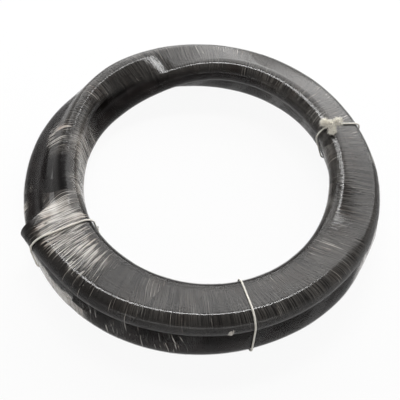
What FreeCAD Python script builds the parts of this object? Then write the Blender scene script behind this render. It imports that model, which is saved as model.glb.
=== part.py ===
"""Coil of smooth-bore vacuum hose, wrapped in stretch film and tied with twine.

Units are millimetres and degrees. +Z is up, the coil lies on the plane z = 0, and the origin is the
middle of the coil on that plane. Azimuths run anticlockwise from +X, seen from above.
"""
import FreeCAD, Part
import math
import os

from FreeCAD import Placement, Rotation, Vector

# Driving dimensions: alias, value, what it is.
SIZES = (
    ("bore_diameter", 38.0, "bore of the hose"),
    ("liner_thickness", 1.6, "smooth inner liner"),
    ("braid_thickness", 0.6, "textile reinforcement"),
    ("cover_thickness", 1.8, "smooth black cover"),
    ("coil_radius", 272.0, "middle radius of the coil"),
    ("pass_gap", 0.5, "clearance between neighbouring passes of the hose"),
    ("film_thickness", 0.4, "stretch film, all its layers together"),
    ("film_clearance", 0.8, "air between hose and film"),
    ("twine_diameter", 2.5, "tie twine"),
    ("twine_clearance", 0.1, "air between film and twine"),
    ("bare_end", 17.0, "free end of the hose that stands out of the film"),
    ("left_tie_azimuth", 214.5, "where the left tie goes round the bundle"),
    ("front_tie_azimuth", 288.5, "where the front tie goes round the bundle"),
    ("right_tie_azimuth", 27.5, "where the right tie goes round the bundle"),
    ("small_knot_diameter", 6.5, "plain knot of the left and front ties"),
    ("frayed_knot_diameter", 19.0, "largest tuft of the right tie's frayed knot"),
)

# The lay of the hose: azimuth along the whole winding, radial place and height of the pass. Both places
# are in pass spacings, from the middle radius of the coil and from a pass that lies on the ground.
LAY = (
    # the free end, then the upper outer pass
    (207.5, 1.14, 1.10), (215, 0.94, 1.11), (225, 0.77, 1.14), (244, 0.66, 1.23), (260, 0.49, 1.30),
    (280, 0.41, 1.34), (300, 0.37, 1.38), (318, 0.37, 1.37), (332, 0.40, 1.26), (345, 0.44, 1.10),
    (360, 0.47, 0.96), (387, 0.49, 0.93), (410, 0.57, 0.98), (440, 0.63, 1.00), (470, 0.64, 1.02),
    (485, 0.60, 1.07),
    # the step inwards over the lower passes, then the upper inner pass
    (499, 0.48, 1.13), (512, 0.24, 1.13), (527, -0.08, 1.07), (545, -0.30, 1.04), (568, -0.41, 1.03),
    (594, -0.50, 1.01), (625, -0.55, 1.01), (665, -0.59, 1.01), (697, -0.59, 1.05), (722, -0.54, 1.20),
    (750, -0.45, 1.33), (795, -0.34, 1.39), (813, -0.36, 1.32), (828, -0.40, 1.08),
    # the step down beside the upper outer pass, then the lower inner pass
    (841, -0.35, 0.73), (854, -0.24, 0.40), (867, -0.15, 0.17), (880, -0.18, 0.04), (896, -0.31, 0.0),
    (915, -0.46, 0.0), (940, -0.55, 0.0), (1000, -0.57, 0.0), (1035, -0.56, 0.0), (1065, -0.42, 0.0),
    (1083, -0.21, 0.0), (1107, 0.02, 0.0), (1127, 0.23, 0.0), (1150, 0.35, 0.0), (1178, 0.40, 0.0),
    (1192, 0.48, 0.0),
    # the step outwards under the upper pass, then the lower outer pass and its end inside the film
    (1205, 0.66, 0.0), (1219, 0.96, 0.0), (1234, 1.12, 0.0), (1252, 1.04, 0.0), (1270, 0.92, 0.0),
    (1286, 0.88, 0.0), (1303, 0.88, 0.0), (1322, 0.82, 0.0), (1345, 0.66, 0.0), (1372, 0.50, 0.0),
    (1400, 0.54, 0.0), (1428, 0.63, 0.0),
)
HOSE_STEP = 18.0            # azimuth from one point of the hose's route to the next
ARC_SHARE = 0.45            # share of the shorter run that each tangent arc takes
FILM_STEP = 10.0            # azimuth from one section of the film to the next
FILM_SIDES = 20             # facets round one section of the film
TIE_MARGIN = 3.0            # azimuth kept clear of other film sections on each side of a tie
GROUND_SIDE = 123.5         # azimuth of the side that no tie lifts off the ground
ROUTE_SAMPLE = 3.0          # spacing of the places read from the hose's route
ROUND_OFF = 1e-6            # azimuths or heights nearer than this are the same
KNOT_GAP = 0.4              # how much further from the film a knot's inside lies than the twine's
INNER_SIDE = 190.0          # slope where the plain knots sit, on the wall of the coil's eye
KNOT_TOP = 104.0            # slope where the frayed knot sits, on the upper inner pass

# Tufts of the frayed knot: share of the largest tuft, then offsets in its diameter along the bundle,
# across it (outwards) and up.
TUFTS = (
    (1.00, 0.00, 0.00, 0.00),
    (0.80, 0.55, -0.40, 0.00),
    (0.75, -0.55, -0.15, 0.00),
    (0.85, 0.10, 0.70, 0.05),
)

doc = FreeCAD.newDocument("wrapped_hose_coil")
sheet = doc.addObject("Spreadsheet::Sheet", "sizes")
for row, (alias, value, note) in enumerate(SIZES, start=1):
    sheet.set(f"A{row}", note)
    sheet.set(f"B{row}", str(value))
    sheet.setAlias(f"B{row}", alias)
doc.recompute()


def size(alias):
    """Value of a driving dimension."""
    return float(sheet.get(alias))


WALL = size("liner_thickness") + size("braid_thickness") + size("cover_thickness")
HOSE_RADIUS = size("bore_diameter") / 2 + WALL
PASS_SPACING = 2 * HOSE_RADIUS + size("pass_gap")
FILM_INSIDE = HOSE_RADIUS + size("film_clearance")
FILM_OUTSIDE = FILM_INSIDE + size("film_thickness")
# From the middle of a pass to the flat underside of the film.
FILM_REST = FILM_OUTSIDE * math.cos(math.pi / FILM_SIDES)
TWINE_ROUTE = FILM_OUTSIDE + size("twine_clearance") + size("twine_diameter") / 2
TIE_LIFT = TWINE_ROUTE + size("twine_diameter") / 2 - FILM_REST
TIES = {
    "tie_left": size("left_tie_azimuth"),
    "tie_front": size("front_tie_azimuth"),
    "tie_right": size("right_tie_azimuth"),
}


def lift(azimuth):
    """Height that the ties hold the bundle off the ground; the side without ties rests on its film."""
    away = math.cos(math.radians(azimuth - GROUND_SIDE))
    return TIE_LIFT * min(1.0, max(0.0, (0.45 - away) / 0.5))


def lay(azimuth):
    """Radius and height of the hose's middle line at an azimuth along the whole winding."""
    last = len(LAY) - 2
    i = next((k for k in range(last) if azimuth <= LAY[k + 1][0]), last)
    before, start, stop, after = LAY[max(i - 1, 0)], LAY[i], LAY[i + 1], LAY[min(i + 2, last + 1)]
    span = stop[0] - start[0]
    u = (azimuth - start[0]) / span
    places = []
    for k in (1, 2):
        leaving = (stop[k] - before[k]) / (stop[0] - before[0]) * span
        arriving = (after[k] - start[k]) / (after[0] - start[0]) * span
        places.append((2 * u**3 - 3 * u**2 + 1) * start[k] + (u**3 - 2 * u**2 + u) * leaving
                      + (3 * u**2 - 2 * u**3) * stop[k] + (u**3 - u**2) * arriving)
    radius = size("coil_radius") + places[0] * PASS_SPACING
    height = FILM_REST + max(0.0, places[1]) * PASS_SPACING + lift(azimuth)
    return radius, height


def point_at(azimuth, radius, height):
    """Point from its azimuth, radius and height."""
    angle = math.radians(azimuth)
    return Vector(radius * math.cos(angle), radius * math.sin(angle), height)


def hose_points():
    """Corner points of the hose's route; those between its ends stand out by what the arcs cut off."""
    first, end = LAY[0][0], LAY[-1][0]
    steps = round((end - first) / HOSE_STEP)
    stand_out = 1 / math.cos(math.radians(HOSE_STEP / 2))
    points = []
    for i in range(steps + 1):
        azimuth = first + (end - first) * i / steps
        radius, height = lay(azimuth)
        if 0 < i < steps:
            radius *= stand_out
        points.append(point_at(azimuth, radius, height))
    return points


def rounded_route(points):
    """Wire of straight runs joined by tangent arcs, and the arcs' radii."""
    edges = []
    radii = []
    start = points[0]
    for before, corner, after in zip(points, points[1:], points[2:]):
        into = corner - before
        out = after - corner
        cut = ARC_SHARE * min(into.Length, out.Length)
        half_turn = into.getAngle(out) / 2
        radius = cut / math.tan(half_turn)
        into.normalize()
        out.normalize()
        arc_start = corner - into * cut
        arc_end = corner + out * cut
        inwards = (out - into).normalize()
        arc_middle = corner + inwards * (radius / math.cos(half_turn) - radius)
        edges.append(Part.LineSegment(start, arc_start).toShape())
        edges.append(Part.Arc(arc_start, arc_middle, arc_end).toShape())
        radii.append(radius)
        start = arc_end
    edges.append(Part.LineSegment(start, points[-1]).toShape())
    return Part.Wire(edges), radii


def add_feature(name, shape):
    """Object that holds a shape made by Part's own functions."""
    feature = doc.addObject("Part::Feature", name)
    feature.Shape = shape
    feature.Placement = Placement()
    return feature


def add_ring(name, radius_expression, at, along):
    """Circle across a route's start, with its radius bound to the sheet."""
    ring = doc.addObject("Part::Circle", name)
    ring.setExpression("Radius", radius_expression)
    ring.Placement = Placement(at, Rotation(Vector(0, 0, 1), along))
    return ring


def add_sweep(name, ring, route):
    """Solid of a circle swept along a route."""
    sweep = doc.addObject("Part::Sweep", name)
    sweep.Sections = [ring]
    sweep.Spine = (route, [f"Edge{i + 1}" for i in range(len(route.Shape.Edges))])
    sweep.Solid = True
    sweep.Frenet = False
    return sweep


# The hose: three tubes, one inside the other, along one route.
POINTS = hose_points()
ROUTE_WIRE, ARC_RADII = rounded_route(POINTS)
END_RUN = POINTS[1] - POINTS[0]
END_DIRECTION = Vector(END_RUN).normalize()

route = add_feature("hose_route", ROUTE_WIRE)
BORE = "sizes.bore_diameter / 2"
LINER = BORE + " + sizes.liner_thickness"
BRAID = LINER + " + sizes.braid_thickness"
COVER = BRAID + " + sizes.cover_thickness"
cylinders = []
for name, radius in (("bore", BORE), ("liner", LINER), ("braid", BRAID), ("cover", COVER)):
    ring = add_ring(name + "_ring", radius, POINTS[0], END_DIRECTION)
    cylinders.append(add_sweep(name + "_sweep", ring, route))

parts = []
for name, inside, outside in zip(("hose_liner", "hose_braid", "hose_cover"), cylinders, cylinders[1:]):
    tube = doc.addObject("Part::Cut", name)
    tube.Base = outside
    tube.Tool = inside
    parts.append(tube)


def route_places():
    """Azimuth along the whole winding, radius and height of places close together on the hose's route."""
    places = []
    azimuth = LAY[0][0]
    for point in ROUTE_WIRE.discretize(Distance=ROUTE_SAMPLE):
        turned = math.degrees(math.atan2(point.y, point.x)) - azimuth
        azimuth += (turned + 180) % 360 - 180
        places.append((azimuth, math.hypot(point.x, point.y), point.z))
    return places


PLACES = route_places()
FILM_EDGE = LAY[0][0] + math.degrees(size("bare_end") / math.hypot(POINTS[0].x, POINTS[0].y))
FILM_REACH = FILM_STEP / 2


def passes(azimuth, reach=0.0):
    """Middles of all wrapped passes at an azimuth, each also a facet's sagitta further out.

    With a reach, the passes' places that far to either side count as well.
    """
    outwards = 1 / math.cos(math.radians(FILM_REACH))
    middles = []
    for near, far in zip(PLACES, PLACES[1:]):
        for aside in {-reach, 0.0, reach}:
            turns = math.ceil((near[0] - azimuth - aside) / 360)
            along = azimuth + aside + 360 * turns
            if FILM_EDGE <= along <= far[0] + ROUND_OFF:
                share = (along - near[0]) / (far[0] - near[0])
                radius = near[1] + share * (far[1] - near[1])
                height = near[2] + share * (far[2] - near[2])
                middles.append((radius, height))
                middles.append((radius * outwards, height))
    return middles


def film_azimuths():
    """Azimuths of the film's sections: even steps, and one at each tie and at the edge on the free end."""
    marks = list(TIES.values())
    marks.append(FILM_EDGE)
    steps = [FILM_STEP * k for k in range(round(360 / FILM_STEP))]
    steps = [a for a in steps if all(abs(a - mark) > TIE_MARGIN for mark in marks)]
    return sorted(steps + marks)


def facet(a, b, c, d):
    """Face with four corners: flat where it lies level, else ruled between two opposite sides."""
    if max(p.z for p in (b, c, d)) - a.z < ROUND_OFF and a.z - min(p.z for p in (b, c, d)) < ROUND_OFF:
        return Part.Face(Part.makePolygon([a, b, c, d, a]))
    here = Part.LineSegment(a, b).toShape()
    there = Part.LineSegment(d, c).toShape()
    return Part.makeRuledSurface(here, there)


def film_skin(offset):
    """Closed skin at one distance from the hose's middle line, stretched over the outermost passes."""
    rows = []
    for azimuth in film_azimuths():
        row = []
        middles = passes(azimuth, 0.0 if azimuth in TIES.values() else FILM_REACH)
        for k in range(FILM_SIDES):
            slope = 2 * math.pi * (k + 0.5) / FILM_SIDES
            cross, up = math.cos(slope), math.sin(slope)
            radius, height = max(middles, key=lambda p: p[0] * cross + p[1] * up)
            row.append(point_at(azimuth, radius + offset * cross, height + offset * up))
        rows.append(row)
    faces = []
    for row, following in zip(rows, rows[1:] + rows[:1]):
        for k in range(FILM_SIDES):
            n = (k + 1) % FILM_SIDES
            faces.append(facet(row[k], row[n], following[n], following[k]))
    skin = Part.makeShell(faces)
    skin.sewShape()
    solid = Part.makeSolid(skin)
    if solid.Volume < 0:
        solid.reverse()
    return solid


film_outer = add_feature("film_outer", film_skin(FILM_OUTSIDE))
film_inner = add_feature("film_inner", film_skin(FILM_INSIDE))
film_hollow = doc.addObject("Part::Cut", "film_hollow")
film_hollow.Base = film_outer
film_hollow.Tool = film_inner

# The free end leaves the film through a round hole, which keeps the straight way out of the bore open.
end_hole = doc.addObject("Part::Cylinder", "end_hole")
end_hole.setExpression("Radius", COVER + " + sizes.film_clearance")
end_hole.setExpression("Height", "sizes.bare_end * 7")
hole_start = POINTS[0] - END_DIRECTION * size("bare_end") * 5
end_hole.Placement = Placement(hole_start, Rotation(Vector(0, 0, 1), END_DIRECTION))
film = doc.addObject("Part::Cut", "stretch_film")
film.Base = film_hollow
film.Tool = end_hole
parts.append(film)


def outermost(middles):
    """The passes that a loop round the bundle touches, in order round it (convex hull)."""
    middles = sorted(set(middles))
    chains = []
    for ordered in (middles, middles[::-1]):
        chain = []
        for p in ordered:
            while len(chain) > 1:
                (ax, ay), (bx, by) = chain[-2], chain[-1]
                if (bx - ax) * (p[1] - ay) - (by - ay) * (p[0] - ax) > 0:
                    break
                chain.pop()
            chain.append(p)
        chains.append(chain[:-1])
    return chains[0] + chains[1]


def tie_route(azimuth):
    """Closed wire of tangent lines and arcs round the bundle."""
    corners = outermost(passes(azimuth))
    slopes = []
    for a, b in zip(corners, corners[1:] + corners[:1]):
        slopes.append(math.atan2(b[1] - a[1], b[0] - a[0]) - math.pi / 2)

    def on_loop(corner, slope):
        radius = corner[0] + TWINE_ROUTE * math.cos(slope)
        return point_at(azimuth, radius, corner[1] + TWINE_ROUTE * math.sin(slope))

    edges = []
    for i, corner in enumerate(corners):
        following = corners[(i + 1) % len(corners)]
        came = slopes[i - 1]
        leaves = slopes[i]
        while leaves < came:
            leaves += 2 * math.pi
        middle = on_loop(corner, (came + leaves) / 2)
        edges.append(Part.Arc(on_loop(corner, came), middle, on_loop(corner, leaves)).toShape())
        edges.append(Part.LineSegment(on_loop(corner, leaves), on_loop(following, leaves)).toShape())
    return Part.Wire(edges)


def knot_seat(azimuth, slope):
    """Point of the twine's loop that faces a slope (0 outwards, 90 up, 180 inwards), and the way it faces."""
    cross, up = math.cos(math.radians(slope)), math.sin(math.radians(slope))
    radius, height = max(passes(azimuth), key=lambda p: p[0] * cross + p[1] * up)
    seat = point_at(azimuth, radius + TWINE_ROUTE * cross, height + TWINE_ROUTE * up)
    return seat, point_at(azimuth, cross, up)


def add_ball(name, diameter_expression, middle):
    """Ball with its size bound to the sheet."""
    ball = doc.addObject("Part::Sphere", name)
    ball.setExpression("Radius", diameter_expression + " / 2")
    ball.Placement = Placement(middle, Rotation())
    return ball


for name, azimuth in TIES.items():
    wire = tie_route(azimuth)
    loop_route = add_feature(name + "_route", wire)
    first_edge = wire.OrderedEdges[0]
    start = first_edge.valueAt(first_edge.FirstParameter)
    along = first_edge.tangentAt(first_edge.FirstParameter)
    ring = add_ring(name + "_ring", "sizes.twine_diameter / 2", start, along)
    loop = add_sweep(name + "_loop", ring, loop_route)
    pieces = [loop]
    if name == "tie_right":
        seat, out = knot_seat(azimuth, KNOT_TOP)
        tuft = size("frayed_knot_diameter")
        around = point_at(azimuth + 90, 1, 0)
        across = around.cross(out).normalize()
        seat += out * (KNOT_GAP + (tuft - size("twine_diameter")) / 2)
        for i, (share, a, c, u) in enumerate(TUFTS):
            middle = seat + around * a * tuft + across * c * tuft + out * (u + (share - 1) / 2) * tuft
            pieces.append(add_ball(f"tuft_{i + 1}", f"sizes.frayed_knot_diameter * {share}", middle))
    else:
        seat, out = knot_seat(azimuth, INNER_SIDE)
        seat += out * (KNOT_GAP + (size("small_knot_diameter") - size("twine_diameter")) / 2)
        pieces.append(add_ball(name + "_knot", "sizes.small_knot_diameter", seat))
    tie = doc.addObject("Part::MultiFuse", name)
    tie.Shapes = pieces
    parts.append(tie)

doc.recompute()

for item in doc.Objects:
    if "Invalid" in item.State or "Error" in item.State:
        raise RuntimeError(f"{item.Name} failed: {item.State}")
for part in parts:
    part.Label = part.Name
    if part.Shape.isNull() or not part.Shape.isValid():
        raise RuntimeError(f"{part.Name} has no valid shape")

os.makedirs("parts", exist_ok=True)
for part in parts:
    part.Shape.exportStep(f"parts/{part.Label}.step")
    print(f"{part.Label}: {len(part.Shape.Solids)} solid, {part.Shape.Volume:.0f} mm3")

section = math.pi * (HOSE_RADIUS**2 - (HOSE_RADIUS - size("cover_thickness"))**2)
print(f"hose length {ROUTE_WIRE.Length:.0f} mm, arc radii {min(ARC_RADII):.0f} to {max(ARC_RADII):.0f} mm")
print(f"cover volume / (section x length) = {parts[2].Shape.Volume / (section * ROUTE_WIRE.Length):.5f}")
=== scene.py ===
"""Looks of a coil of vacuum hose in stretch film with twine ties, on a pale floor.

Metres and degrees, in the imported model's frame: +Z up, the origin in the middle of the coil, on the ground.
"""

import math

import bpy
import numpy as np
from mathutils import Matrix


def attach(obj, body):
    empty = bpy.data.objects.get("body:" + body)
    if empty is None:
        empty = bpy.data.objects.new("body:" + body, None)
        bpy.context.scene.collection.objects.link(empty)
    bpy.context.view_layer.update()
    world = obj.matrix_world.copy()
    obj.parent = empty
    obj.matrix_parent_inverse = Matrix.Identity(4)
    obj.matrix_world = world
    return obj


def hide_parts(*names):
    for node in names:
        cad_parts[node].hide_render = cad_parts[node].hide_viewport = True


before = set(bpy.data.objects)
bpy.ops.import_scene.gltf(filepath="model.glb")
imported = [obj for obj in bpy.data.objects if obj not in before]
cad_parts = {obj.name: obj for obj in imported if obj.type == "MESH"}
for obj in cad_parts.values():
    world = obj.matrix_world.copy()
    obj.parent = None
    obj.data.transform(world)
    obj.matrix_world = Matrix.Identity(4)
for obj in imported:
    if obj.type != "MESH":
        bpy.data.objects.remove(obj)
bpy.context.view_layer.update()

# Driving dimensions, as in the CAD model.
HOSE_RADIUS = 0.023
BRAID_RADIUS = 0.0212           # outside of the braid, where the cover begins
LINER_RADIUS = 0.0206
BORE_RADIUS = 0.019
EDGE = 0.0003                   # broken edge at the cut end
PASS_SPACING = 0.0465
COIL_RADIUS = 0.272
FILM_RADIUS = 0.0242            # from the middle of a pass to the film's outside
FILM_REST = FILM_RADIUS * math.cos(math.pi / 20)
TWINE_ROUTE = 0.02555           # from the middle of a pass to the middle of the twine
TIE_LIFT = TWINE_ROUTE + 0.00125 - FILM_REST
GROUND_SIDE = 123.5
BARE_END = 0.017
HOSE_STEP = 18.0
TIES = {"tie_left": 214.5, "tie_front": 288.5, "tie_right": 27.5}

# The lay of the hose, as in the CAD model: azimuth along the whole winding, radial place and height.
LAY = (
    # the free end, then the upper outer pass
    (207.5, 1.14, 1.10), (215, 0.94, 1.11), (225, 0.77, 1.14), (244, 0.66, 1.23), (260, 0.49, 1.30),
    (280, 0.41, 1.34), (300, 0.37, 1.38), (318, 0.37, 1.37), (332, 0.40, 1.26), (345, 0.44, 1.10),
    (360, 0.47, 0.96), (387, 0.49, 0.93), (410, 0.57, 0.98), (440, 0.63, 1.00), (470, 0.64, 1.02),
    (485, 0.60, 1.07),
    # the step inwards over the lower passes, then the upper inner pass
    (499, 0.48, 1.13), (512, 0.24, 1.13), (527, -0.08, 1.07), (545, -0.30, 1.04), (568, -0.41, 1.03),
    (594, -0.50, 1.01), (625, -0.55, 1.01), (665, -0.59, 1.01), (697, -0.59, 1.05), (722, -0.54, 1.20),
    (750, -0.45, 1.33), (795, -0.34, 1.39), (813, -0.36, 1.32), (828, -0.40, 1.08),
    # the step down beside the upper outer pass, then the lower inner pass
    (841, -0.35, 0.73), (854, -0.24, 0.40), (867, -0.15, 0.17), (880, -0.18, 0.04), (896, -0.31, 0.0),
    (915, -0.46, 0.0), (940, -0.55, 0.0), (1000, -0.57, 0.0), (1035, -0.56, 0.0), (1065, -0.42, 0.0),
    (1083, -0.21, 0.0), (1107, 0.02, 0.0), (1127, 0.23, 0.0), (1150, 0.35, 0.0), (1178, 0.40, 0.0),
    (1192, 0.48, 0.0),
    # the step outwards under the upper pass, then the lower outer pass and its end inside the film
    (1205, 0.66, 0.0), (1219, 0.96, 0.0), (1234, 1.12, 0.0), (1252, 1.04, 0.0), (1270, 0.92, 0.0),
    (1286, 0.88, 0.0), (1303, 0.88, 0.0), (1322, 0.82, 0.0), (1345, 0.66, 0.0), (1372, 0.50, 0.0),
    (1400, 0.54, 0.0), (1428, 0.63, 0.0),
)

# The film: one strip wound round the bundle, through the eye of the coil.
STRIP_WIDTH = 0.125
STRIP_TURNS = 19
STRIP_STEP = 20.0               # azimuth from one turn of the strip to the next
STRIP_START = 214.0
ROWS_PER_TURN = 150
STRIP_COLUMNS = 84

# Stretches of the film: azimuth, half width, middle of the slope (0 outwards, 90 up) and its half width.
# The last value is how much of the film whitened creases cover, how hazy it is, or how much its layers hide,
# in the next three tables in that order. In CLEAR the haze goes and half of the creases with it.
CREASED_AND_PAINTED_HIGHLIGHT = (
    (208.0, 8.0, 94.0, 36.0, 0.56),
    (223.0, 11.0, 92.0, 33.0, 0.52),
    (171.0, 5.0, 78.0, 40.0, 0.49),
    (226.0, 16.0, -32.0, 34.0, 0.44),
    (250.0, 20.0, 20.0, 60.0, 0.39),
    # Painted highlight: a small whiter patch where a glint falls on the front, not a real crease.
    (278.8, 1.3, 46.0, 5.0, 0.62),
)
# Partly real haziness, partly painted light: the walls that face the right (the outer wall at azimuth 352,
# the wall of the eye at 183) are made whiter where light from the right falls on them.
HAZE_AND_PAINTED_LIGHT = (
    (209.0, 9.0, 95.0, 38.0, 0.20),
    (183.0, 22.0, 176.0, 42.0, 0.85),
    (48.0, 20.0, 185.0, 55.0, 0.25),
    (4.0, 24.0, 165.0, 28.0, 0.55),
    (352.0, 20.0, 3.0, 32.0, 1.10),
    (226.0, 11.0, -14.0, 20.0, 1.10),
    (144.0, 8.0, 0.0, 34.0, 0.80),
    (200.0, 9.0, -28.0, 24.0, 1.10),
)
SINGLE = (
    (165.0, 30.0, 45.0, 32.0, 0.12),
)
CLEAR = (
    (189.0, 6.5, 80.0, 60.0),
)


def lift(azimuth):
    """Height that the ties hold the bundle off the ground."""
    away = math.cos(math.radians(azimuth - GROUND_SIDE))
    return TIE_LIFT * min(1.0, max(0.0, (0.45 - away) / 0.5))


def lay(azimuth):
    """Radius and height of the hose's middle line at an azimuth along the whole winding."""
    last = len(LAY) - 2
    i = next((k for k in range(last) if azimuth <= LAY[k + 1][0]), last)
    before, start, stop, after = LAY[max(i - 1, 0)], LAY[i], LAY[i + 1], LAY[min(i + 2, last + 1)]
    span = stop[0] - start[0]
    u = (azimuth - start[0]) / span
    places = []
    for k in (1, 2):
        leaving = (stop[k] - before[k]) / (stop[0] - before[0]) * span
        arriving = (after[k] - start[k]) / (after[0] - start[0]) * span
        places.append((2 * u**3 - 3 * u**2 + 1) * start[k] + (u**3 - 2 * u**2 + u) * leaving
                      + (3 * u**2 - 2 * u**3) * stop[k] + (u**3 - u**2) * arriving)
    radius = COIL_RADIUS + places[0] * PASS_SPACING
    height = FILM_REST + max(0.0, places[1]) * PASS_SPACING + lift(azimuth)
    return radius, height


def point_at(azimuth, radius, height):
    """Point from its azimuth, radius and height."""
    angle = math.radians(azimuth)
    return np.array([radius * math.cos(angle), radius * math.sin(angle), height])


def hose_points():
    """Corner points of the hose's route; those between its ends stand out a little."""
    first, end = LAY[0][0], LAY[-1][0]
    steps = round((end - first) / HOSE_STEP)
    stand_out = 1 / math.cos(math.radians(HOSE_STEP / 2))
    points = []
    for i in range(steps + 1):
        azimuth = first + (end - first) * i / steps
        radius, height = lay(azimuth)
        if 0 < i < steps:
            radius *= stand_out
        points.append(point_at(azimuth, radius, height))
    return points


def nurbs_line(points, steps):
    """Places along the smooth line that has these control points."""
    curve = bpy.data.curves.new("line", "CURVE")
    curve.dimensions = "3D"
    curve.resolution_u = steps
    spline = curve.splines.new("NURBS")
    spline.points.add(len(points) - 1)
    for control, point in zip(spline.points, points):
        control.co = (*point, 1.0)
    spline.order_u = 3
    spline.use_endpoint_u = True
    holder = bpy.data.objects.new("line", curve)
    mesh = bpy.data.meshes.new_from_object(holder)
    line = np.array([v.co[:] for v in mesh.vertices])
    bpy.data.objects.remove(holder)
    bpy.data.curves.remove(curve)
    bpy.data.meshes.remove(mesh)
    return line


# ---------------------------------------------------------------- meshes


def new_piece(name, points, faces, material):
    """Shown mesh object that rides on the part's one body."""
    mesh = bpy.data.meshes.new(name)
    mesh.from_pydata([tuple(p) for p in points], [], faces)
    mesh.shade_smooth()
    mesh.materials.append(material)
    piece = bpy.data.objects.new(name, mesh)
    bpy.context.scene.collection.objects.link(piece)
    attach(piece, "root")
    return piece


def unit(vectors):
    """Vectors of length one."""
    return vectors / np.linalg.norm(vectors, axis=-1, keepdims=True)


def cross_axes(line, closed=False):
    """Two directions across a line at each of its places, carried along it without twist."""
    ahead = np.roll(line, -1, axis=0) - np.roll(line, 1, axis=0)
    if not closed:
        ahead[0] = line[1] - line[0]
        ahead[-1] = line[-1] - line[-2]
    ahead = unit(ahead)
    side = np.cross(ahead[0], (0.0, 0.0, 1.0))
    if np.linalg.norm(side) < 0.1:
        side = np.cross(ahead[0], (1.0, 0.0, 0.0))
    sides = []
    for direction in ahead:
        side = side - direction * np.dot(side, direction)
        side = side / np.linalg.norm(side)
        sides.append(side)
    sides = np.array(sides)
    return sides, np.cross(ahead, sides)


def ring_grid(rings, closed_along=False):
    """Faces between rings of equal size, whose points follow one another."""
    count, around = rings
    faces = []
    for i in range(count if closed_along else count - 1):
        here, there = i * around, (i + 1) % count * around
        for k in range(around):
            n = (k + 1) % around
            faces.append((here + k, here + n, there + n, there + k))
    return faces


def rod(line, radius, around, closed=False):
    """Points and faces of a round rod along a line; the radius may differ from place to place."""
    sides, ups = cross_axes(line, closed)
    turn = np.linspace(0, 2 * math.pi, around, endpoint=False)
    reach = np.broadcast_to(np.asarray(radius, dtype=float), (len(line),))[:, None, None]
    circle = np.cos(turn)[None, :, None] * sides[:, None, :] + np.sin(turn)[None, :, None] * ups[:, None, :]
    points = (line[:, None, :] + reach * circle).reshape(-1, 3)
    faces = ring_grid((len(line), around), closed)
    if not closed:
        faces.append(tuple(range(around - 1, -1, -1)))
        faces.append(tuple((len(line) - 1) * around + k for k in range(around)))
    return points, faces


def joined(shapes):
    """Points and faces of several shapes as one."""
    points, faces, count = [], [], 0
    for shape_points, shape_faces in shapes:
        points.append(shape_points)
        faces.extend(tuple(count + k for k in face) for face in shape_faces)
        count += len(shape_points)
    return np.concatenate(points), faces


def lattice_noise(across, along, seed):
    """Smooth noise between 0 and 1 whose lumps are one unit wide."""
    table = np.random.default_rng(seed).random((256, 256))
    i, j = np.floor(across).astype(int), np.floor(along).astype(int)
    u, v = across - i, along - j
    u, v = u * u * (3 - 2 * u), v * v * (3 - 2 * v)
    near = table[i % 256, j % 256] * (1 - u) + table[(i + 1) % 256, j % 256] * u
    far = table[i % 256, (j + 1) % 256] * (1 - u) + table[(i + 1) % 256, (j + 1) % 256] * u
    return near * (1 - v) + far * v


# ---------------------------------------------------------------- materials


def new_material(name, colour, roughness):
    """Principled material, its nodes and links, and its shader."""
    material = bpy.data.materials.new(name)
    material.use_nodes = True
    nodes, links = material.node_tree.nodes, material.node_tree.links
    shader = nodes["Principled BSDF"]
    shader.inputs["Base Color"].default_value = (*colour, 1.0)
    shader.inputs["Roughness"].default_value = roughness
    return material, nodes, links, shader


def noise_node(nodes, links, source, scale, detail=2.0, stretch=(1.0, 1.0, 1.0)):
    """Noise texture on stretched coordinates; its output is between 0 and 1."""
    mapping = nodes.new("ShaderNodeMapping")
    mapping.inputs["Scale"].default_value = stretch
    links.new(source, mapping.inputs["Vector"])
    noise = nodes.new("ShaderNodeTexNoise")
    noise.inputs["Scale"].default_value = scale
    noise.inputs["Detail"].default_value = detail
    links.new(mapping.outputs["Vector"], noise.inputs["Vector"])
    return noise.outputs["Fac"]


def ramp_node(nodes, links, source, stops):
    """Colour ramp with (place, colour) stops."""
    ramp = nodes.new("ShaderNodeValToRGB")
    elements = ramp.color_ramp.elements
    while len(elements) < len(stops):
        elements.new(0.5)
    for element, (place, colour) in zip(elements, stops):
        element.position = place
        element.color = (*colour, 1.0)
    links.new(source, ramp.inputs["Fac"])
    return ramp.outputs["Color"]


def bump_node(nodes, links, height, distance):
    """Bump from a height."""
    bump = nodes.new("ShaderNodeBump")
    bump.inputs["Distance"].default_value = distance
    bump.inputs["Strength"].default_value = 1.0
    links.new(height, bump.inputs["Height"])
    return bump.outputs["Normal"]


def object_coordinates(nodes):
    """The piece's own coordinates, in metres."""
    return nodes.new("ShaderNodeTexCoord").outputs["Object"]


def cover_material():
    """Smooth black hose cover: soft unevenness, faint dust and rub marks."""
    material, nodes, links, shader = new_material("hose_cover_black", (0.012, 0.012, 0.013), 0.4)
    shader.inputs["Specular IOR Level"].default_value = 0.15
    place = object_coordinates(nodes)
    dust = noise_node(nodes, links, place, 38, 6)
    colour = ramp_node(nodes, links, dust, ((0.35, (0.010, 0.008, 0.008)), (0.8, (0.030, 0.024, 0.023))))
    links.new(colour, shader.inputs["Base Color"])
    gloss = ramp_node(nodes, links, noise_node(nodes, links, place, 90, 4),
                      ((0.3, (0.30, 0.30, 0.30)), (0.8, (0.48, 0.48, 0.48))))
    links.new(gloss, shader.inputs["Roughness"])
    wave = noise_node(nodes, links, place, 14, 1)
    links.new(bump_node(nodes, links, wave, 0.0008), shader.inputs["Normal"])
    return material


def braid_material():
    """Pale cords of the textile braid, on the cut end."""
    material, nodes, links, shader = new_material("hose_braid_cord", (0.5, 0.48, 0.43), 0.85)
    place = object_coordinates(nodes)
    cords = noise_node(nodes, links, place, 900, 2)
    colour = ramp_node(nodes, links, cords, ((0.35, (0.24, 0.22, 0.19)), (0.65, (0.62, 0.59, 0.53))))
    links.new(colour, shader.inputs["Base Color"])
    links.new(bump_node(nodes, links, cords, 0.0004), shader.inputs["Normal"])
    return material


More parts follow.
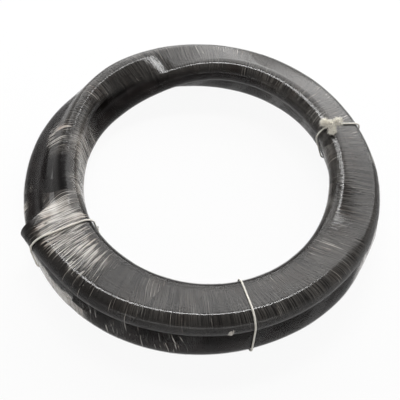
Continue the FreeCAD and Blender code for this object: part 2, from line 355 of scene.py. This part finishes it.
def liner_material():
    """Dark smooth liner, faintly uneven in tone."""
    material, nodes, links, shader = new_material("hose_liner_dark", (0.020, 0.020, 0.021), 0.32)
    place = object_coordinates(nodes)
    lines = noise_node(nodes, links, place, 220, 3)
    colour = ramp_node(nodes, links, lines, ((0.3, (0.012, 0.012, 0.013)), (0.8, (0.040, 0.039, 0.038))))
    links.new(colour, shader.inputs["Base Color"])
    links.new(bump_node(nodes, links, lines, 0.0002), shader.inputs["Normal"])
    return material


def math_node(nodes, links, operation, first, second, clamp=False):
    """Result of a sum or product; each value is a number or a socket."""
    node = nodes.new("ShaderNodeMath")
    node.operation = operation
    node.use_clamp = clamp
    for socket, value in zip(node.inputs, (first, second)):
        if isinstance(value, (int, float)):
            socket.default_value = value
        else:
            links.new(value, socket)
    return node.outputs[0]


def attribute_node(nodes, name):
    """A value kept with the mesh's points."""
    node = nodes.new("ShaderNodeAttribute")
    node.attribute_name = name
    return node.outputs["Fac"]


def film_material():
    """Clear stretch film of several layers: glossy, hazy where it spans a gap, white along its creases. Its
    haziness is partly painted light on the walls that face the right, one small crease patch is a painted
    highlight, and its warm tint is partly a painted reflection of warm surroundings.
    """
    material, nodes, links, shader = new_material("stretch_film_clear", (0.6, 0.58, 0.55), 0.12)
    shader.inputs["IOR"].default_value = 1.45
    wound = nodes.new("ShaderNodeUVMap")
    wound.uv_map = "wound"
    strip = wound.outputs["UV"]
    streaks = noise_node(nodes, links, strip, 1.0, 3, (640.0, 14.0, 1.0))
    patches = noise_node(nodes, links, strip, 1.0, 3, (30.0, 18.0, 1.0))

    # Whiter creases; one small patch of them is a painted highlight.
    above = math_node(nodes, links, "ADD", streaks, attribute_node(nodes, "lines"))
    above = math_node(nodes, links, "SUBTRACT", above, 1.0)
    creased_and_painted_highlight = math_node(nodes, links, "MULTIPLY", above, 14.0, clamp=True)
    creased_and_painted_highlight = math_node(nodes, links, "MULTIPLY", creased_and_painted_highlight, 0.85)
    grain = math_node(nodes, links, "SUBTRACT", streaks, 0.36)
    grain = math_node(nodes, links, "MULTIPLY", grain, 4.5, clamp=True)
    # The haziness here is partly painted light, on the walls that face the right.
    hazy_and_painted_light = math_node(nodes, links, "MULTIPLY", grain, attribute_node(nodes, "haze_and_painted_light"))
    whitened_and_painted_light = math_node(nodes, links, "MAXIMUM", creased_and_painted_highlight, hazy_and_painted_light, clamp=True)
    layers = math_node(nodes, links, "MULTIPLY", attribute_node(nodes, "layers"), 0.88)
    links.new(math_node(nodes, links, "MAXIMUM", layers, whitened_and_painted_light, clamp=True), shader.inputs["Alpha"])

    # The warm tint of the whiter film is partly a painted reflection of warm surroundings.
    tint_and_painted_warm_reflection = ramp_node(nodes, links, patches, ((0.44, (0.78, 0.74, 0.68)), (0.62, (0.66, 0.59, 0.52)),
                                            (0.76, (0.46, 0.32, 0.26))))
    mixed = nodes.new("ShaderNodeMix")
    mixed.data_type = "RGBA"
    links.new(whitened_and_painted_light, mixed.inputs[0])
    mixed.inputs[6].default_value = (0.012, 0.011, 0.011, 1.0)
    links.new(tint_and_painted_warm_reflection, mixed.inputs[7])
    links.new(mixed.outputs[2], shader.inputs["Base Color"])

    fine = noise_node(nodes, links, strip, 1.0, 4, (330.0, 18.0, 1.0))
    relief = math_node(nodes, links, "MULTIPLY", fine, attribute_node(nodes, "lines"))
    links.new(bump_node(nodes, links, relief, 0.0009), shader.inputs["Normal"])
    return material


def twine_material():
    """Off-white twine: matt fibres, some lighter and some darker at random."""
    material, nodes, links, shader = new_material("twine_cream", (0.72, 0.66, 0.55), 0.92)
    shader.inputs["Sheen Weight"].default_value = 0.4
    place = object_coordinates(nodes)
    fibres = noise_node(nodes, links, place, 1400, 4)
    colour = ramp_node(nodes, links, fibres, ((0.22, (0.70, 0.64, 0.53)), (0.45, (0.97, 0.94, 0.86))))
    links.new(colour, shader.inputs["Base Color"])
    links.new(bump_node(nodes, links, fibres, 0.0003), shader.inputs["Normal"])
    return material


# ---------------------------------------------------------------- hose

HOSE_LINE = nurbs_line(hose_points(), 12)


def layer_tube(name, outside, inside, around, material, node):
    """One layer of the hose along the whole winding, with square ends and a broken edge at the free one."""
    sides, ups = cross_axes(HOSE_LINE)
    turn = np.linspace(0, 2 * math.pi, around, endpoint=False)[None, :, None]
    circle = np.cos(turn) * sides[:, None, :] + np.sin(turn) * ups[:, None, :]
    line = HOSE_LINE[:, None, :]
    bore = (line + inside * circle)[::-1]
    skin = line + outside * circle
    edge = skin[0] + EDGE * unit(HOSE_LINE[1] - HOSE_LINE[0])
    rim = skin[0] - EDGE * circle[0]
    rings = np.concatenate([bore, rim[None], edge[None], skin[1:]])
    faces = ring_grid((len(rings), around), closed_along=True)
    layer = new_piece(name, rings.reshape(-1, 3), faces, material)
    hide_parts(node)
    return layer


def make_hose():
    """The hose's cover, braid and liner; all three show at the cut end."""
    braid = layer_tube("vacuum_hose_braid", BRAID_RADIUS, LINER_RADIUS, 32, braid_material(), "hose_braid")
    liner = layer_tube("vacuum_hose_liner", LINER_RADIUS, BORE_RADIUS, 32, liner_material(), "hose_liner")
    cover = layer_tube("vacuum_hose_cover", HOSE_RADIUS, BRAID_RADIUS, 48, cover_material(), "hose_cover")


# ---------------------------------------------------------------- stretch film

WOUND = np.unwrap(np.arctan2(HOSE_LINE[:, 1], HOSE_LINE[:, 0]))
WOUND = np.degrees(WOUND) + 360 * round((LAY[0][0] - np.degrees(WOUND[0])) / 360)
WOUND_RADIUS = np.hypot(HOSE_LINE[:, 0], HOSE_LINE[:, 1])
FILM_EDGE = LAY[0][0] + math.degrees(BARE_END / WOUND_RADIUS[0])
FILM_FADE = 13.0                # azimuth over which the film comes in from the free end to the bundle
FADE_INWARDS = 0.060
FADE_DOWNWARDS = 0.016


def wrapped_passes(azimuth):
    """Radius and height of every pass at an azimuth; past the free end, a place that sinks inwards."""
    places = []
    for turns in range(5):
        along = azimuth % 360 + 360 * turns
        if FILM_EDGE <= along <= WOUND[-1]:
            radius = np.interp(along, WOUND, WOUND_RADIUS)
            places.append((radius, np.interp(along, WOUND, HOSE_LINE[:, 2])))
    short = FILM_EDGE - azimuth % 360
    if 0 < short < FILM_FADE:
        radius = np.interp(FILM_EDGE, WOUND, WOUND_RADIUS)
        height = np.interp(FILM_EDGE, WOUND, HOSE_LINE[:, 2])
        share = short / FILM_FADE
        share = share * share * (3 - 2 * share)
        places.append((radius - FADE_INWARDS * share, height - FADE_DOWNWARDS * share))
    return np.array(places)


def bundle_section(azimuth, offset, angles):
    """Middle of the bundle, and how far a loop stretched round it is from there, in each direction."""
    places = wrapped_passes(azimuth)
    slopes = np.linspace(-math.pi, math.pi, 360, endpoint=False)
    facing = np.stack([np.cos(slopes), np.sin(slopes)], axis=1)
    middle = (places.max(axis=0) + places.min(axis=0)) / 2
    support = ((places - middle) @ facing.T).max(axis=0) + offset
    lean = np.cos(angles[:, None] - slopes[None, :])
    reach = np.where(lean > 0.05, support[None, :] / np.maximum(lean, 0.05), np.inf).min(axis=1)
    return middle, reach


SECTIONS = 720
DIRECTIONS = 288
CREASE_ROOM = 0.0002            # how far inside its outside the film lies between creases
ANGLES = np.linspace(-math.pi, math.pi, DIRECTIONS, endpoint=False)
TABLE = [bundle_section(360 * i / SECTIONS, FILM_RADIUS - CREASE_ROOM, ANGLES) for i in range(SECTIONS)]
MIDDLES = np.array([middle for middle, _ in TABLE])
REACHES = np.array([reach for _, reach in TABLE])


def looked_up(table, azimuths, angles):
    """Values between those of a table over the sections and directions."""
    a = azimuths % 360 * SECTIONS / 360
    b = (angles + math.pi) % (2 * math.pi) * DIRECTIONS / (2 * math.pi)
    i, j = np.floor(a).astype(int), np.floor(b).astype(int)
    u, v = a - i, b - j
    i, j, i_next, j_next = i % SECTIONS, j % DIRECTIONS, (i + 1) % SECTIONS, (j + 1) % DIRECTIONS
    here = table[i, j] * (1 - v) + table[i, j_next] * v
    there = table[i_next, j] * (1 - v) + table[i_next, j_next] * v
    return here * (1 - u) + there * u


def wrap_places(azimuths, angles, out):
    """Points on the wrapped bundle, moved outwards by out, for arrays of azimuths and section angles."""
    reach = looked_up(REACHES, azimuths, angles) + out
    a = azimuths % 360 * SECTIONS / 360
    i = np.floor(a).astype(int)
    u = (a - i)[..., None]
    middle = MIDDLES[i % SECTIONS] * (1 - u) + MIDDLES[(i + 1) % SECTIONS] * u
    radius = middle[..., 0] + reach * np.cos(angles)
    height = np.maximum(middle[..., 1] + reach * np.sin(angles), 0.0)
    turn = np.radians(azimuths)
    return np.stack([radius * np.cos(turn), radius * np.sin(turn), height], axis=-1)


def ease(value):
    """Smooth step from 0 to 1."""
    value = np.clip(value, 0, 1)
    return value * value * (3 - 2 * value)


def nearest_tie(azimuths):
    """Distance along the bundle to the nearest tie."""
    gaps = [np.abs((azimuths - at + 180) % 360 - 180) for at in TIES.values()]
    return np.radians(np.min(gaps, axis=0)) * COIL_RADIUS


def within(azimuths, slopes, patch):
    """How far inside a patch of the film each place is, from 0 to 1."""
    azimuth, half_width, slope, half_slope = patch[:4]
    along = np.abs((azimuths - azimuth + 180) % 360 - 180) / half_width
    across = np.abs((slopes - slope + 180) % 360 - 180) / half_slope
    return ease(1.6 * (1.3 - along)) * ease(1.6 * (1.3 - across))


# Creases of the film, in millimetres: spacing along the bundle and length round it.
MILLIMETRE = 0.001
SECTION_RADIUS = 0.048          # of a circle as long as the bundle's outline
OUTLINE_LENGTH = 301.6
SLANT = 0.16
CREASES = (6.0, 62.0)
FINE_CREASES = (3.0, 34.0)
FOLDS = (24.0, 70.0)
PATCHES = (55.0, 60.0)
LEAST_DEPTH = 0.0001
LINE_DEPTH = 0.0006
WHITE_DEPTH = 0.0007
LAP_STEP = 0.00012              # how far one edge of the strip lies over the turn before


def make_film():
    """The wound strip: creases across the bundle, most of them round the whitened stretch."""
    rows = STRIP_TURNS * ROWS_PER_TURN
    turn, across = np.meshgrid(np.linspace(0, STRIP_TURNS, rows + 1),
                               np.linspace(-0.5, 0.5, STRIP_COLUMNS + 1), indexing="ij")
    sway = 2.5 * (lattice_noise(turn * 0.8, turn * 0.0, 5) - 0.5)
    azimuths = STRIP_START + turn * STRIP_STEP + sway + np.degrees(across * STRIP_WIDTH / COIL_RADIUS)
    angles = -math.pi / 2 + 2 * math.pi * turn

    along = np.radians(azimuths) * COIL_RADIUS / MILLIMETRE
    around = angles * SECTION_RADIUS / MILLIMETRE
    slant = along + SLANT * (around % OUTLINE_LENGTH) + 9 * lattice_noise(along / 40, around / 50, 6)
    creases = 1 - np.abs(2 * lattice_noise(slant / CREASES[0], around / CREASES[1], 1) - 1)
    fine = 1 - np.abs(2 * lattice_noise(slant / FINE_CREASES[0], around / FINE_CREASES[1], 2) - 1)
    folds = lattice_noise(slant / FOLDS[0], around / FOLDS[1], 3)
    patches = lattice_noise(along / PATCHES[0], around / PATCHES[1], 4)

    slopes = np.degrees(angles)
    upward = ease((np.sin(angles) - 0.55) / 0.3)
    ragged = azimuths + 8 * (patches - 0.5), slopes + 24 * (folds - 0.5)
    lines = 0.20 + 0.06 * upward + 0.14 * patches
    # One crease patch, at azimuth 278.8, is a painted highlight.
    for patch in CREASED_AND_PAINTED_HIGHLIGHT:
        lines = lines + (patch[4] - lines) * within(*ragged, patch)
    haze_and_painted_light = 0.012 + 0.09 * upward * (0.5 + patches)
    # These patches are partly painted light, whitening the walls that face the right.
    for patch in HAZE_AND_PAINTED_LIGHT:
        haze_and_painted_light = haze_and_painted_light + (patch[4] - haze_and_painted_light) * within(*ragged, patch)
    layers = 0.14 + 0.86 * upward
    for patch in SINGLE:
        layers = layers + (patch[4] - layers) * within(azimuths, slopes, patch)
    for patch in CLEAR:
        lines = lines * (1 - 0.5 * within(*ragged, patch))
        haze_and_painted_light = haze_and_painted_light * (1 - within(*ragged, patch))
    white = ease((lines - 0.5) / 0.25)
    pinched = ease(nearest_tie(azimuths) / 0.012)
    resting = ease((1 + np.sin(angles)) / 0.2)
    depth = LEAST_DEPTH + LINE_DEPTH * np.clip(lines - 0.3, 0, 1) + WHITE_DEPTH * white
    out = depth * (0.55 * creases**3 + 0.35 * fine**2 + 0.4 * folds) * (0.15 + 0.85 * pinched) * resting
    out += LAP_STEP * (across + 0.5)
    points = wrap_places(azimuths, angles, out).reshape(-1, 3)

    columns = STRIP_COLUMNS + 1
    start = (np.arange(rows)[:, None] * columns + np.arange(STRIP_COLUMNS)[None, :]).reshape(-1)
    faces = np.stack([start, start + 1, start + columns + 1, start + columns], axis=1)
    film = new_piece("wound_stretch_film", points, faces.tolist(), film_material())

    mesh = film.data
    for name, values in (("haze_and_painted_light", haze_and_painted_light), ("lines", lines), ("layers", layers)):
        attribute = mesh.attributes.new(name, "FLOAT", "POINT")
        attribute.data.foreach_set("value", values.reshape(-1).astype(np.float32))
    corner = np.zeros(len(mesh.loops), dtype=np.int32)
    mesh.loops.foreach_get("vertex_index", corner)
    wound = np.stack([slant / 1000, around / 1000], axis=-1).reshape(-1, 2)
    mesh.uv_layers.new(name="wound").data.foreach_set("uv", wound[corner].reshape(-1).astype(np.float32))

    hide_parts("stretch_film")


# ---------------------------------------------------------------- twine

STRANDS = 3
STRAND_RADIUS = 0.00086
STRAND_OFFSET = 0.00084
TWIST_PITCH = 0.0075
STRAND_ROOM = 0.0007            # how much further out the twisted line runs than the plain twine
KNOT_STRAND_RADIUS = 0.0006
KNOT_STRAND_OFFSET = 0.00055
TREFOIL_SIZE = 0.00095
PLAIN_KNOT_SLOPE = 190.0        # on the wall of the coil's eye


def twisted(line, closed=False, strand_radius=STRAND_RADIUS, offset=STRAND_OFFSET, pitch=TWIST_PITCH):
    """Strands laid round one another along a line."""
    gaps = np.linalg.norm(np.diff(np.concatenate([line, line[:1]]) if closed else line, axis=0), axis=1)
    place = np.concatenate([[0.0], np.cumsum(gaps)])[:len(line)]
    total = gaps.sum()
    turns = round(total / pitch) if closed else total / pitch
    sides, ups = cross_axes(line, closed)
    if closed:
        drift = math.atan2(np.dot(sides[-1], ups[0]), np.dot(sides[-1], sides[0]))
    else:
        drift = 0.0
    strands = []
    for k in range(STRANDS):
        phase = 2 * math.pi * (turns * place / total + k / STRANDS) - drift * place / total
        middle = line + offset * (np.cos(phase)[:, None] * sides + np.sin(phase)[:, None] * ups)
        strands.append(rod(middle, strand_radius, 7, closed))
    return joined(strands)


def tie_line(azimuth, step=0.0007):
    """Closed line of a tie round the wrapped bundle, in even steps."""
    fine = np.linspace(-math.pi, math.pi, 1440, endpoint=False)
    middle, reach = bundle_section(azimuth, TWINE_ROUTE + STRAND_ROOM, fine)
    radius = middle[0] + reach * np.cos(fine)
    height = np.maximum(middle[1] + reach * np.sin(fine), STRAND_OFFSET + STRAND_RADIUS)
    turn = math.radians(azimuth)
    loop = np.stack([radius * math.cos(turn), radius * math.sin(turn), height], axis=1)
    closed = np.concatenate([loop, loop[:1]])
    gaps = np.linalg.norm(np.diff(closed, axis=0), axis=1)
    place = np.concatenate([[0.0], np.cumsum(gaps)])
    even = np.linspace(0, place[-1], round(place[-1] / step), endpoint=False)
    return np.stack([np.interp(even, place, closed[:, k]) for k in range(3)], axis=1)


def knot_seat(azimuth, slope):
    """Point of the tie that faces a slope (0 outwards, 90 up, 180 inwards), the way it faces, and along."""
    angle = math.radians(slope)
    places = wrapped_passes(azimuth)
    facing = np.array([math.cos(angle), math.sin(angle)])
    radius, height = places[(places @ facing).argmax()] + TWINE_ROUTE * facing
    out = point_at(azimuth, facing[0], facing[1])
    return point_at(azimuth, radius, height), out, point_at(azimuth + 90, 1.0, 0.0)


def small_knot(azimuth, slope, seed):
    """Tight overhand knot with two short tails."""
    seat, out, beside = knot_seat(azimuth, slope)
    up = np.cross(out, beside)
    t = np.linspace(0, 2 * math.pi, 60, endpoint=False)
    wide, tall, deep = np.sin(t) + 2 * np.sin(2 * t), np.cos(t) - 2 * np.cos(2 * t), -np.sin(3 * t)
    trefoil = (seat + out * 0.0022 + TREFOIL_SIZE * wide[:, None] * beside
               + TREFOIL_SIZE * tall[:, None] * up + TREFOIL_SIZE * deep[:, None] * out)
    shapes = [twisted(trefoil, True, KNOT_STRAND_RADIUS, KNOT_STRAND_OFFSET)]
    random = np.random.default_rng(seed)
    for side in (-1, 1):
        start = seat + out * 0.002
        control = [start, start + side * beside * 0.005 + out * 0.002]
        for k in range(3):
            step = side * beside * 0.004 - up * 0.002 * (k + 1) + random.normal(0, 0.0008, 3)
            control.append(control[-1] + step)
        tail = nurbs_line(control, 10)
        shapes.append(twisted(tail, False, KNOT_STRAND_RADIUS, KNOT_STRAND_OFFSET))
    return shapes


# Lobes of the frayed knot: share of the largest, then offsets in its diameter along the bundle, across it
# and up, as in the CAD model.
FRAYED_DIAMETER = 0.019
LOBES = (
    (1.00, 0.00, 0.00, 0.00),
    (0.80, 0.55, -0.40, 0.00),
    (0.75, -0.55, -0.15, 0.00),
    (0.85, 0.10, 0.70, 0.05),
)
FLUFF = 1.22                    # how far the fibres stand out of the tufts
FIBRES_PER_LOBE = 330
LOOPS_PER_LOBE = 7
LOOP_THICKNESS = 0.0013
FIBRE_ROOT = 0.00042
FIBRE_TIP = 0.00012
FRAYED_KNOT_SHIFT = 1.3         # azimuth from the tie to the middle of its knot
FRAYED_KNOT_SLOPE = 99.0


def frayed_knot(azimuth, slope):
    """Fluffy knot: lobes of fine curled fibres round a loose ball of twine."""
    seat, out, beside = knot_seat(azimuth, slope)
    across = unit(np.cross(beside, out))
    seat = seat + out * (FRAYED_DIAMETER / 2 - 0.001)
    random = np.random.default_rng(11)
    shapes = []
    for share, a, c, u in LOBES:
        radius = share * FRAYED_DIAMETER / 2 * FLUFF
        offset = a * beside + c * across + (u + (share - 1) / 2) * out
        middle = seat + FRAYED_DIAMETER * FLUFF**0.5 * offset
        for _ in range(LOOPS_PER_LOBE):
            axis = unit(random.normal(0, 1, 3))
            side = unit(np.cross(axis, random.normal(0, 1, 3)))
            other = np.cross(axis, side)
            t = np.linspace(0, 2 * math.pi, 26, endpoint=False)
            wide = radius * random.uniform(0.40, 0.62)
            loop = middle + wide * (np.cos(t)[:, None] * side + np.sin(t)[:, None] * other)
            loop = loop + axis * radius * random.uniform(-0.3, 0.3)
            shapes.append(rod(loop, LOOP_THICKNESS, 6, True))
        for _ in range(FIBRES_PER_LOBE):
            way = unit(random.normal(0, 1, 3))
            if np.dot(way, out) < -0.35:
                way = way - 2 * np.dot(way, out) * out
            length = radius * random.uniform(0.85, 1.22)
            curl = unit(np.cross(way, random.normal(0, 1, 3))) * radius * random.uniform(0.1, 0.5)
            t = np.linspace(0.25, 1, 6)[:, None]
            fibre = middle + way * length * t + curl * t**2 - out * 0.1 * radius * t**2
            shapes.append(rod(fibre, np.linspace(FIBRE_ROOT, FIBRE_TIP, 6), 4))
    return shapes


def make_ties():
    """The three twine ties with their knots."""
    material = twine_material()
    for seed, (name, azimuth) in enumerate(TIES.items()):
        shapes = [twisted(tie_line(azimuth), True)]
        if name == "tie_right":
            shapes += frayed_knot(azimuth - FRAYED_KNOT_SHIFT, FRAYED_KNOT_SLOPE)
        else:
            shapes += small_knot(azimuth, PLAIN_KNOT_SLOPE, seed)
        points, faces = joined(shapes)
        points[:, 2] = np.maximum(points[:, 2], 0.0)
        tie = new_piece("twine_" + name, points, faces, material)
        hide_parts(name)


# ---------------------------------------------------------------- floor, light, camera


FLOOR_HALF = 6.0
FLOOR_DROP = 0.0003             # how far the floor lies under the coil
FLOOR_LIFT = 0.93


def make_floor():
    """Pale floor; what is seen of it is lifted to white, and the soft shadow under the coil stays."""
    material, nodes, links, shader = new_material("floor_pale", (0.9, 0.9, 0.9), 0.9)
    rays = nodes.new("ShaderNodeLightPath").outputs
    seen = math_node(nodes, links, "ADD", rays["Is Camera Ray"], rays["Is Glossy Ray"], clamp=True)
    seen = math_node(nodes, links, "ADD", seen, rays["Is Transmission Ray"], clamp=True)
    share = math_node(nodes, links, "MULTIPLY", seen, FLOOR_LIFT)
    white = nodes.new("ShaderNodeEmission")
    white.inputs["Strength"].default_value = 1.0
    mixed = nodes.new("ShaderNodeMixShader")
    links.new(share, mixed.inputs["Fac"])
    links.new(shader.outputs["BSDF"], mixed.inputs[1])
    links.new(white.outputs["Emission"], mixed.inputs[2])
    links.new(mixed.outputs["Shader"], nodes["Material Output"].inputs["Surface"])
    mesh = bpy.data.meshes.new("floor")
    half = FLOOR_HALF
    corners = [(-half, -half, 0), (half, -half, 0), (half, half, 0), (-half, half, 0)]
    mesh.from_pydata(corners, [], [(0, 1, 2, 3)])
    mesh.materials.append(material)
    floor = bpy.data.objects.new("floor", mesh)
    floor.location.z = -FLOOR_DROP
    bpy.context.scene.collection.objects.link(floor)


def make_world():
    """Light from all round: white near the horizon, dim overhead."""
    world = bpy.data.worlds.new("studio")
    bpy.context.scene.world = world
    world.use_nodes = True
    nodes, links = world.node_tree.nodes, world.node_tree.links
    where = nodes.new("ShaderNodeTexCoord")
    split = nodes.new("ShaderNodeSeparateXYZ")
    links.new(where.outputs["Generated"], split.inputs["Vector"])
    sky = ramp_node(nodes, links, split.outputs["Z"],
                    ((0.0, (0.75, 0.74, 0.73)), (0.30, (0.48, 0.47, 0.46)), (0.58, (0.12, 0.12, 0.12)),
                     (1.0, (0.07, 0.07, 0.07))))
    links.new(sky, nodes["Background"].inputs["Color"])
    nodes["Background"].inputs["Strength"].default_value = 1.0


# Name, azimuth, elevation, distance, width, height and radiance of each lamp.
LAMPS = (
    ("lamp_strip", 104.0, 67.0, 2.2, 1.25, 0.28, 17.0),
    ("lamp_panel", 84.0, 31.0, 2.2, 4.3, 2.1, 2.6),
    ("lamp_front", 270.0, 14.0, 2.4, 4.0, 0.5, 1.2),
)


def make_lamp(name, azimuth, elevation, distance, width, height, radiance):
    """Soft box that faces the coil. Azimuth 90 is behind the coil, as the camera sees it."""
    lamp = bpy.data.lights.new(name, "AREA")
    lamp.shape = "RECTANGLE"
    lamp.size = width
    lamp.size_y = height
    lamp.energy = radiance * math.pi * width * height
    holder = bpy.data.objects.new(name, lamp)
    a, e = math.radians(azimuth), math.radians(elevation)
    back = np.array([math.cos(e) * math.cos(a), math.cos(e) * math.sin(a), math.sin(e)])
    right = unit(np.cross((0.0, 0.0, 1.0), back))
    place_object(holder, back * distance, right, np.cross(back, right), back)
    bpy.context.scene.collection.objects.link(holder)


def place_object(holder, place, right, up, back):
    """Puts an object at a place with its X, Y and Z axes along three directions."""
    rows = [[right[k], up[k], back[k], place[k]] for k in range(3)]
    holder.matrix_world = Matrix(rows + [[0, 0, 0, 1]])


CAMERA_ELEVATION = 56.03
CAMERA_DISTANCE = 1.281
CAMERA_ROLL = 6.0
CAMERA_HEIGHT = 0.048           # of the place that it looks at
CAMERA_LENS = 61.7
CAMERA_SHIFT = (-0.017, -0.044)


def make_camera():
    """The photograph's viewing angle: from the front and above, rolled a little."""
    e, roll = math.radians(CAMERA_ELEVATION), math.radians(CAMERA_ROLL)
    back = np.array([0.0, -math.cos(e), math.sin(e)])
    level, upright = np.array([1.0, 0.0, 0.0]), np.array([0.0, math.sin(e), math.cos(e)])
    right = math.cos(roll) * level + math.sin(roll) * upright
    up = -math.sin(roll) * level + math.cos(roll) * upright
    camera = bpy.data.cameras.new("camera")
    camera.lens = CAMERA_LENS
    camera.sensor_width = 36.0
    camera.shift_x, camera.shift_y = CAMERA_SHIFT
    holder = bpy.data.objects.new("camera", camera)
    aim = np.array([0.0, 0.0, CAMERA_HEIGHT])
    place_object(holder, aim + CAMERA_DISTANCE * back, right, up, back)
    bpy.context.scene.collection.objects.link(holder)
    bpy.context.scene.camera = holder


make_camera()
make_hose()
make_film()
make_ties()
make_floor()
make_world()
for lamp_values in LAMPS:
    make_lamp(*lamp_values)
bpy.context.scene.view_settings.view_transform = "Standard"
